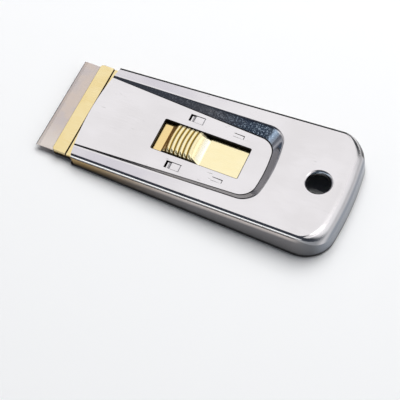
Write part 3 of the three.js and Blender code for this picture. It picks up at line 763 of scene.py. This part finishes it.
def edge_rows(sheet):
    """Courses of the round top edge and of the wall below it, down to the foot's thickness."""
    rows = [round_edge(sheet, pi / 2, GUARD, front_arc)]
    for turn in spread(pi / 2, 0, EDGE_STEPS):
        rows.append(round_edge(sheet, turn, 0, mouth))
    top, foot = rows[-1], at_height(SHELL_SHEET, sheet, mouth)
    for share in spread(0, 1, ROUND_STEPS)[1:]:
        rows.append([p.lerp(q, share) for p, q in zip(top, foot)])
    return rows


def foot_row(z, inset):
    """Course of the foot, with its ends carried forward past the notch in the walls."""
    row = at_height(z, inset, notch_end)
    tip = at_height(z, inset, front_arc)
    return [tip[0], *row, tip[-1]]


def foot_inner_edge(z):
    """Inner edge of the foot flange."""
    def place(x, y, nx, ny):
        return x - nx * FLANGE_WIDTH, y - ny * FLANGE_WIDTH, z

    row = course(FOOT_SIDE, place, notch_end)
    tip = course(FOOT_SIDE, place, front_arc)
    return [tip[0], *row, tip[-1]]


def in_top(radius, height):
    """Circle about the hanging hole, square to the sloping top."""
    slant = hypot(1, RISE_RATE)
    along = Vector((1, 0, RISE_RATE)) / slant
    across = Vector((0, 1, 0))
    upward = Vector((-RISE_RATE, 0, 1)) / slant
    centre = Vector((HOLE_STATION, 0, top_height(HOLE_STATION))) + height * upward
    turns = spread(0, 2 * pi, HOLE_STEPS)[:-1]
    return [centre + radius * (cos(turn) * along + sin(turn) * across) for turn in turns]


def tongue(sheet, root, tip, low, high, drop, bend):
    """Tongue bent down out of the panel, most of it between two shares of its length."""
    shares = spread(0, ROOT_LENGTH, ROUND_STEPS)[:-1] + spread(ROOT_LENGTH, 1, TONGUE_STEPS)
    line = []
    for share in shares:
        bent = min(max((share - bend[0]) / (bend[1] - bend[0]), 0), 1) ** 2
        fall = ROOT_SHARE * ease(share / ROOT_LENGTH) + (1 - ROOT_SHARE) * bent
        line.append((root + (tip - root) * share, drop * fall))
    corners = []
    for y, face in ((low, PANEL_TOP), (high, PANEL_TOP), (high, PANEL_BOTTOM), (low, PANEL_BOTTOM)):
        corners.append([(x, y, face - fall) for x, fall in line])
    sheet.strip([*corners, corners[0]])
    end = [corner[-1] for corner in corners]
    sheet.strip([end[:2], end[:1:-1]])


def handle_shell():
    sheet = Pressing()
    outer, inner = recess_rows(0), recess_rows(SHELL_SHEET)
    outer_edge, inner_edge = edge_rows(0), edge_rows(SHELL_SHEET)
    lances = []
    for way in (-1, 1):
        for front, rear, width, mouth_gap, drop, bend, lead in (
            (LOCK_FRONT, LOCK_REAR, LOCK_WIDTH, LOCK_MOUTH, LOCK_DROP, LOCK_BEND, -1),
            (PARK_FRONT, PARK_REAR, PARK_WIDTH, PARK_MOUTH, PARK_DROP, PARK_BEND, 1),
        ):
            low, high = sorted((way * TONGUE_SPACING, way * (TONGUE_SPACING + width)))
            root, end = (rear, front) if lead < 0 else (front, rear)
            tongue(sheet, root, end - lead * mouth_gap, low + SLIT, high - SLIT, drop, bend)
            lances.append([
                (root, low + SLIT), (root, low), (end, low), (end, high), (root, high), (root, high - SLIT),
            ])
    # The cut faces of the tongues and the window, the window's rounded edge and the creases at the foot of
    # the sunk panel's walls are painted near black: painted shade.
    sheet.finish = DARK
    for opening in lances:
        sheet.strip([level(opening, PANEL_TOP), level(opening, PANEL_BOTTOM)])

    def window(grow):
        low, high = -WINDOW_HALF - grow, WINDOW_HALF + grow
        return rounded_box(WINDOW_FRONT - grow, WINDOW_REAR + grow, low, high, WINDOW_CORNER + grow)

    punched = []
    for turn in spread(pi / 2, 0, ROUND_STEPS):
        drop = PUNCH_ROUND * (1 - sin(turn))
        punched.append(level(window(PUNCH_ROUND * (1 - cos(turn))), PANEL_TOP - drop))
    sheet.strip([*punched, level(window(0), PANEL_BOTTOM)], closed=True)
    creases = slice(1, ROUND_STEPS + 2)
    sheet.strip(outer[creases])
    # The outer walls and the foot take the drawn finish, whose colours are painted shade and reflection.
    sheet.finish = DRAWN
    walls = EDGE_STEPS + 1
    sheet.strip(outer_edge[walls:])
    sheet.finish = BRIGHT
    sheet.strip(outer[:2])
    sheet.strip(outer[ROUND_STEPS + 1:])
    sheet.strip(outer_edge[:walls + 1])

    lip = [in_top(HOLE_RADIUS + LIP_ROUND + GUARD, 0)]
    for turn in spread(pi / 2, 0, ROUND_STEPS):
        lip.append(in_top(HOLE_RADIUS + LIP_ROUND * (1 - cos(turn)), -LIP_ROUND * (1 - sin(turn))))
    sheet.strip(lip, closed=True)
    # The hole's collar and the inside of the shell are unpolished and also painted near black: painted
    # shade.
    sheet.finish = DULL
    outside = HOLE_RADIUS + SHELL_SHEET
    collar = [lip[-1], in_top(HOLE_RADIUS, -COLLAR_DEPTH), in_top(outside, -COLLAR_DEPTH)]
    for turn in spread(0, pi / 2, ROUND_STEPS):
        drop = SHELL_SHEET + COLLAR_FILLET * (1 - sin(turn))
        collar.append(in_top(outside + COLLAR_FILLET * (1 - cos(turn)), -drop))
    collar.append(in_top(outside + COLLAR_FILLET + GUARD, -SHELL_SHEET))
    sheet.strip(collar, closed=True)

    def brow(rows, face):
        """Bowed front edge of the panel."""
        return [(front_arc(y), y, face) for y in spread(rows[0][-1].y, rows[0][0].y, ARC_STEPS)]

    sheet.strip(inner)
    sheet.strip(inner_edge)
    for finish, rows, edge, face, ring, opening in (
        (BRIGHT, outer, outer_edge, PANEL_TOP, lip[0], punched[0]),
        (DULL, inner, inner_edge, PANEL_BOTTOM, collar[-1], level(window(0), PANEL_BOTTOM)),
    ):
        sheet.finish = finish
        sheet.fill(rows[0] + brow(rows, face)[1:-1], [opening, *(level(lance, face) for lance in lances)])
        sheet.fill(rows[-1] + edge[0][::-1], [ring])

    sheet.finish = BRIGHT
    sheet.strip([brow(outer, PANEL_TOP), brow(inner, PANEL_BOTTOM)])
    for end in (0, -1):
        sheet.strip([[row[end] for row in outer + outer_edge], [row[end] for row in inner + inner_edge]])

    sheet.finish = DRAWN
    foot = [foot_row(SHELL_SHEET, 0)]
    for turn in spread(pi / 2, 0, ROUND_STEPS):
        foot.append(foot_row(FOOT_ROUND * (1 - cos(turn)), FOOT_ROUND * (1 - sin(turn))))
    foot += [foot_row(0, FOOT_ROUND + GUARD), foot_inner_edge(0), foot_inner_edge(SHELL_SHEET)]
    foot.append(foot_row(SHELL_SHEET, SHELL_SHEET))
    sheet.strip(foot)
    for end in (0, -1):
        sheet.fill([row[end] for row in foot], across=(1, 2))
    for ends in (slice(0, 2), slice(-2, None)):
        sheet.strip([foot[0][ends], foot[-1][ends]])
    return sheet


STEEL_BRIGHT = (0.82, 0.79, 0.80, 1)
STEEL_GREY = (0.76, 0.73, 0.735, 1)
SCUFF_GREY = (0.50, 0.48, 0.47, 1)
RAIL_GREY = (0.64, 0.61, 0.655, 1)
DRAWN_SHADED_GREY = (0.47, 0.455, 0.455, 1)
DRAWN_REFLECTED_PALE = (0.60, 0.545, 0.515, 1)
DRAWN_SHADED_DARK = (0.20, 0.195, 0.20, 1)
DRAWN_REFLECTED_BROWN = (0.42, 0.29, 0.13, 1)
BROWN_IN_SHADE = (0.10, 0.066, 0.03, 1)
END_GREY = (0.27, 0.29, 0.33, 1)
CORNER_GREY = (0.27, 0.275, 0.29, 1)
CORNER_DARK = (0.15, 0.155, 0.165, 1)
WALL_BLUE = (0.18, 0.245, 0.35, 1)
WALL_PALE = (0.72, 0.86, 1.0, 1)
NEAR_WALL_GREY = (0.34, 0.325, 0.315, 1)
NEAR_WALL_DARK = (0.17, 0.16, 0.155, 1)
SPECK_GLINT = (0.70, 0.84, 0.98, 1)
EDGE_DARK = (0.035, 0.034, 0.035, 1)
EDGE_HIGHLIGHT = (0.99, 0.985, 0.98, 1)
EDGE_SHADE_LINE = (0.07, 0.06, 0.056, 1)
MILL_SHADE_GREY = (0.20, 0.195, 0.19, 1)
MILL_SHADE_DARK = (0.09, 0.088, 0.085, 1)
SHADE_GREY = (0.055, 0.052, 0.05, 1)
SHADE_BLACK = (0.03, 0.028, 0.026, 1)
RAIL_INNER = (FOOT_HALF - RAIL_WIDTH, FOOT_HALF - RAIL_WIDTH + 0.6)
SHEET_CLOUDS = (0.05, 0.07, 0.1)
SHEET_ROLLING = (0.2, 4, 4)
CLOUD_PART, ROLLING_PART = 0.7, 0.3
SCRATCHES, SCRATCH_REACH = (0.35, 2.2, 2.2), (0.72, 0.78)
PATCHES, PATCH_REACH = (0.09, 0.12, 0.12), (0.52, 0.62)
PEEL, PEEL_LEAN = (2.2, 2.2, 2.2), (0.7, 0.95)
ROLLING_HEIGHT, PEEL_HEIGHT, SHEET_DEPTH = 0.1, 0.4, 0.012
SHEET_SMOOTH, CLOUD_ROUGHER, ROLLING_ROUGHER = 0.1, 0.05, 0.04
SCUFF_ROUGHER, REAR_ROUGHER, SPECK_ROUGHER = 0.12, 0.15, 0.1
HAZE_REACH, HAZE_WANDER, HAZE_CLOUDS = (30, 75), 40, (0.2, 0.6)
SIDE_FACE, FAR_FACE = (0.45, 0.65), (0.3, 0.5)
BLUE_REACH, PALE_REACH = (34, 54), (59, 67)
SPECKS, SPECK_EDGE, SPECK_REACH = (1.8, 1.8, 1.8), (0.52, 0.62), (42, 58)
SPECK_FRONT, SPECK_MORE = 0.3, 0.4
NEAR_WALL_REACH = (25, 50)
REAR_REACH, REAR_FACE = (90, 95), (0.75, 0.92)
CORNER_REACH, CORNER_LEAN, CORNER_FACE = (81, 88), (0.6, 0.8), (0.62, 0.9)
FAR_EDGE, FAR_EDGE_REAR, FAR_EDGE_LEAN = (0.03, 0.1), (0.01, 0.03), (0.6, 0.75)
NEAR_EDGE, NEAR_SHADE_LINE, NEAR_EDGE_END = (-0.6, -0.45), (-0.92, -0.86), (84, 90)


def bright_steel():
    material, shader, place = metal("bright_steel")
    clouds = grain(place, SHEET_CLOUDS, detail=2)
    rolling = grain(place, SHEET_ROLLING)
    patches = grain(place, PATCHES, detail=1)
    scuffed = fade(grain(place, SCRATCHES, detail=1), *SCRATCH_REACH) * fade(patches, *PATCH_REACH)
    along = place.axis("X") - MOUTH_X
    on_rail = fade(place.axis("Y").unsigned(), *RAIL_INNER)
    face = facing(place)
    rearward = face.axis("X")
    farward = face.axis("Y")
    upright = face.axis("Z")

    sheet = tint(fade(CLOUD_PART * clouds + ROLLING_PART * rolling, *MOTTLE), STEEL_GREY, STEEL_BRIGHT)
    hazy = on_rail * (1 - fade(along + HAZE_WANDER * patches, *HAZE_REACH)) * fade(clouds, *HAZE_CLOUDS)
    sheet = tint(hazy, sheet, RAIL_GREY)

    # The sunk panel's side walls are painted as their reflections: dark blue along the middle and pale blue
    # to the rear, with pale-blue specks as painted glints. The wall that faces back is painted grey, darker
    # to the rear: painted shade.
    recess_side = fade(farward.unsigned(), *SIDE_FACE) * (1 - on_rail)
    blotch = recess_side * fade(grain(place, SPECKS, detail=4), *SPECK_EDGE)
    sheet = tint(recess_side * fade(along, *BLUE_REACH), sheet, WALL_BLUE)
    sheet = tint(recess_side * fade(along, *PALE_REACH), sheet, WALL_PALE)
    sheet = tint(blotch * (SPECK_FRONT + SPECK_MORE * fade(along, *SPECK_REACH)), sheet, SPECK_GLINT)
    near_wall = (1 - on_rail) * fade(farward, *FAR_FACE)
    sheet = tint(near_wall, sheet, tint(fade(along, *NEAR_WALL_REACH), NEAR_WALL_GREY, NEAR_WALL_DARK))

    # The rear end is painted blue-grey as a painted reflection, and the rear corners of the round edge grey
    # as painted shade.
    rear_end = fade(along, *REAR_REACH)
    sheet = tint(rear_end * fade(rearward, *REAR_FACE), sheet, END_GREY)
    corner = (1 - fade(upright, *CORNER_LEAN)) * (1 - fade(rearward, *CORNER_FACE))
    sheet = tint(fade(along, *CORNER_REACH) * corner, sheet, CORNER_GREY)
    # A line along the far top edge is painted near black: a painted dark reflection.
    low_edge = place.math("MAXIMUM", 1 - fade(rearward, *FAR_EDGE_REAR), 1 - fade(upright, *FAR_EDGE_LEAN))
    sheet = tint(on_rail * fade(farward, *FAR_EDGE) * low_edge, sheet, EDGE_DARK)
    # Along the near top edge a white line is painted as a highlight, with a dark line of painted shade
    # below it.
    near_rail = on_rail * (1 - fade(along, *NEAR_EDGE_END))
    sheet = tint(near_rail * (1 - fade(farward, *NEAR_EDGE)), sheet, EDGE_HIGHLIGHT)
    sheet = tint(near_rail * (1 - fade(farward, *NEAR_SHADE_LINE)), sheet, EDGE_SHADE_LINE)

    tint(scuffed, sheet, SCUFF_GREY).feed(shader.inputs["Base Color"])
    rougher = CLOUD_ROUGHER * clouds + ROLLING_ROUGHER * rolling
    rougher = rougher + SCUFF_ROUGHER * scuffed + REAR_ROUGHER * rear_end + SPECK_ROUGHER * blotch
    (SHEET_SMOOTH + rougher).feed(shader.inputs["Roughness"])
    peel = (1 - fade(upright, *PEEL_LEAN)) * grain(place, PEEL, detail=2)
    relief(ROLLING_HEIGHT * rolling + PEEL_HEIGHT * peel, SHEET_DEPTH).feed(shader.inputs["Normal"])
    return material


DIE_MARKS, DRAWN_SPECKS = (0.12, 0.12, 5), (1.6, 1.6, 1.6)
DIE_SHARE, SPECK_SHARE = 0.6, 0.4
WALL_SHADE_LEAD, WALL_SHADE_RATE, WALL_SHADE_WANDER, WALL_SHADE_REACH = 0.6, 0.035, 1.5, (2.2, 6.2)
PALE_BAND_WANDER, PALE_BAND_REACH, PALE_BAND_END = 0.6, (2.1, 3.6), (82, 90)
WARM_WANDER, WARM_REACH = 20, (12, 60)
WALL_END, END_FACE = (85, 92), (0.5, 0.95)
FOOT_SHADOW_WANDER, FOOT_SHADOW_REACH = 0.5, (1.1, 2.2)
DRAWN_SMOOTH, DRAWN_ROUGHER, DRAWN_DEPTH = 0.16, 0.14, 0.006


# Drawn finish of the outer walls and foot, its colours painted. The grey is shade, darker towards the
# bottom and the rear. The pale band under the top edge and the brown towards the front are painted
# reflections. The rear end is painted blue-grey as reflection, with its corners darker as painted shade. A
# black painted shadow runs along the foot.
def drawn_shaded_steel():
    material, shader, place = metal("drawn_shaded_steel")
    along = place.axis("X") - MOUTH_X
    up = place.axis("Z")
    below_top = FRONT_HEIGHT + RISE_RATE * along - up
    speckle = grain(place, DRAWN_SPECKS, detail=3)
    mottle = DIE_SHARE * grain(place, DIE_MARKS) + SPECK_SHARE * speckle
    wall_shade = fade(below_top + WALL_SHADE_LEAD + WALL_SHADE_RATE * along + WALL_SHADE_WANDER * mottle, *WALL_SHADE_REACH)
    pale_band = (1 - fade(below_top + PALE_BAND_WANDER * mottle, *PALE_BAND_REACH)) * (1 - fade(along, *PALE_BAND_END))
    wall = tint(pale_band, tint(wall_shade, DRAWN_SHADED_GREY, DRAWN_SHADED_DARK), DRAWN_REFLECTED_PALE)
    warm = 1 - fade(along + WARM_WANDER * mottle, *WARM_REACH)
    wall = tint(warm, wall, tint(wall_shade, DRAWN_REFLECTED_BROWN, BROWN_IN_SHADE))
    end = tint(fade(facing(place).axis("X"), *END_FACE), CORNER_DARK, END_GREY)
    wall = tint(fade(along, *WALL_END), wall, end)
    painted_shadow = 1 - fade(up + FOOT_SHADOW_WANDER * speckle, *FOOT_SHADOW_REACH)
    tint(painted_shadow, wall, SHADE_BLACK).feed(shader.inputs["Base Color"])
    (DRAWN_SMOOTH + DRAWN_ROUGHER * speckle).feed(shader.inputs["Roughness"])
    relief(speckle, DRAWN_DEPTH).feed(shader.inputs["Normal"])
    return material


MILL_SCALE, MILL_ROLLING = (0.3, 0.3, 0.3), (0.15, 3, 3)
SCALE_SHARE = 0.5
MILL_SMOOTH, MILL_ROUGHER, MILL_DEPTH = 0.34, 0.2, 0.008


# Unpolished inside of the shell, also painted near black: partly real, partly painted shade.
def unpolished_shaded_steel():
    material, shader, place = metal("unpolished_shaded_steel")
    scale = grain(place, MILL_SCALE, detail=4)
    rolling = grain(place, MILL_ROLLING)
    paler = fade(SCALE_SHARE * scale + (1 - SCALE_SHARE) * rolling, *MOTTLE)
    tint(paler, MILL_SHADE_DARK, MILL_SHADE_GREY).feed(shader.inputs["Base Color"])
    (MILL_SMOOTH + MILL_ROUGHER * scale).feed(shader.inputs["Roughness"])
    relief(rolling, MILL_DEPTH).feed(shader.inputs["Normal"])
    return material


TEARS = (4, 4, 1.2)
TORN_SMOOTH, TORN_ROUGHER, TORN_DEPTH = 0.4, 0.2, 0.02


# Near-black steel for cut faces, rounded cut edges and creases: painted shade, with the torn grain of a cut
# face in its roughness.
def torn_shaded_steel():
    material, shader, place = metal("torn_shaded_steel")
    tears = grain(place, TEARS, detail=4)
    tint(fade(tears, *MOTTLE), SHADE_BLACK, SHADE_GREY).feed(shader.inputs["Base Color"])
    (TORN_SMOOTH + TORN_ROUGHER * tears).feed(shader.inputs["Roughness"])
    relief(tears, TORN_DEPTH).feed(shader.inputs["Normal"])
    return material


finishes = [bright_steel(), drawn_shaded_steel(), unpolished_shaded_steel(), torn_shaded_steel()]
handle_shell().piece("pressed_handle", "handle", "pressed_steel", finishes, "handle_shell")


# Floor, light and camera: a wide sheet of pale paper, one large soft box behind the tool and four others
# around it, in a dark room with a white wall on the right and a grey one on the left. A lamp high behind
# lights the paper alone, so that a soft shadow falls on the near side.

FLOOR_HALF = 4
FLOOR_WHITE = (0.93, 0.93, 0.93, 1)
PAPER_ROUGHNESS = 0.9
WINDOW_BLUE = (0.80, 0.90, 1.0)


def floor():
    corners = [(x * FLOOR_HALF, y * FLOOR_HALF, 0) for x, y in ((-1, -1), (1, -1), (1, 1), (-1, 1))]
    mesh = bpy.data.meshes.new("floor")
    mesh.from_pydata(corners, [], [(0, 1, 2, 3)])
    material = bpy.data.materials.new("pale_paper")
    material.use_nodes = True
    shader = material.node_tree.nodes["Principled BSDF"]
    shader.inputs["Base Color"].default_value = FLOOR_WHITE
    shader.inputs["Roughness"].default_value = PAPER_ROUGHNESS
    shader.inputs["Specular IOR Level"].default_value = 0
    mesh.materials.append(material)
    made = bpy.data.objects.new("floor", mesh)
    bpy.context.scene.collection.objects.link(made)


def soft_box(
    name, turn, rise, distance, width, height, brightness, colour=(1, 1, 1), on_metal=True, on_floor=False
):
    """Lamp that looks at the tool, its turn from straight behind and its rise in degrees. A mirror would
    show it with that brightness."""
    level_part = cos(radians(rise))
    away = Vector((sin(radians(turn)) * level_part, cos(radians(turn)) * level_part, sin(radians(rise))))
    lamp = bpy.data.lights.new(name, "AREA")
    lamp.shape = "RECTANGLE"
    lamp.size = width
    lamp.size_y = height
    lamp.color = colour
    lamp.energy = brightness * pi * width * height
    made = bpy.data.objects.new(name, lamp)
    made.location = away * distance
    made.rotation_euler = away.to_track_quat("Z", "Y").to_euler()
    made.visible_camera = False
    made.visible_glossy = on_metal
    made.visible_diffuse = on_floor
    bpy.context.scene.collection.objects.link(made)


floor()
soft_box(
    "soft_box_behind", turn=8, rise=55, distance=1, width=1.6, height=1.05, brightness=0.97, on_floor=True
)
soft_box("soft_box_left", turn=-66, rise=16, distance=1.2, width=1.0, height=0.62, brightness=0.17)
soft_box("soft_box_near", turn=200, rise=20, distance=1.3, width=2.0, height=0.4, brightness=1.15)
soft_box("soft_box_right", turn=92, rise=56, distance=1.2, width=1.0, height=0.6, brightness=0.8)
soft_box(
    "soft_box_near_left", turn=-118, rise=32, distance=1.2, width=0.6, height=0.6, brightness=0.4,
    colour=WINDOW_BLUE,
)
soft_box(
    "floor_lamp", turn=-5, rise=62, distance=1.4, width=1.2, height=1.2, brightness=3.6,
    on_metal=False, on_floor=True,
)

ROOM_HIGH = (0.04, 0.047, 0.06, 1)
ROOM_LOW = (0.20, 0.22, 0.26, 1)
ROOM_BACK = (0.025, 0.027, 0.03, 1)
ROOM_RIGHT = (0.96, 0.98, 1, 1)
ROOM_LEFT = (0.55, 0.55, 0.57, 1)
BACK_TURN, HIGH_RISE = (0.3, 0.8), (0.1, 0.45)
LEFT_TURN, LEFT_RISE = (-0.75, -0.55), (0.38, 0.52)
CORNER_TURN, CORNER_RISE, CORNER_SHADE = (0.35, 0.6), (0.02, 0.2), 0.75
RIGHT_TURN, RIGHT_RISE, RIGHT_END = (0.58, 0.74), (-0.1, 0.08), (-0.4, 0)


def studio():
    """Walls of the room, as they show in the metal."""
    world = bpy.data.worlds.new("studio")
    world.use_nodes = True
    direction = Wire(world.node_tree).node("ShaderNodeTexCoord", output="Generated")
    rightward = direction.axis("X")
    backward = direction.axis("Y")
    upward = direction.axis("Z")
    low_wall = tint(fade(backward, *BACK_TURN), ROOM_LOW, ROOM_BACK)
    walls = tint(fade(upward, *HIGH_RISE), low_wall, ROOM_HIGH)
    left_wall = (1 - fade(rightward, *LEFT_TURN)) * fade(upward, *LEFT_RISE)
    walls = tint(left_wall, walls, ROOM_LEFT)
    back_corner = fade(backward, *CORNER_TURN) * (1 - fade(upward, *CORNER_RISE))
    right_wall = fade(rightward, *RIGHT_TURN) * fade(upward, *RIGHT_RISE) * fade(backward, *RIGHT_END)
    right_wall = right_wall * (1 - CORNER_SHADE * back_corner)
    tint(right_wall, walls, ROOM_RIGHT).feed(world.node_tree.nodes["Background"].inputs["Color"])
    return world


bpy.context.scene.world = studio()
bpy.context.scene.view_settings.view_transform = "Standard"

CAMERA_PLACE = Vector((0.11339, -0.26390, 0.42537))
CAMERA_BACK = Vector((0.21296, -0.49025, 0.84517))
CAMERA_LENS = 130.19
SENSOR_WIDTH = 36

lens = bpy.data.cameras.new("camera")
lens.lens = CAMERA_LENS
lens.sensor_width = SENSOR_WIDTH
camera = bpy.data.objects.new("camera", lens)
camera.location = CAMERA_PLACE
camera.rotation_euler = (-CAMERA_BACK).to_track_quat("-Z", "Y").to_euler()
bpy.context.scene.collection.objects.link(camera)
bpy.context.scene.camera = camera
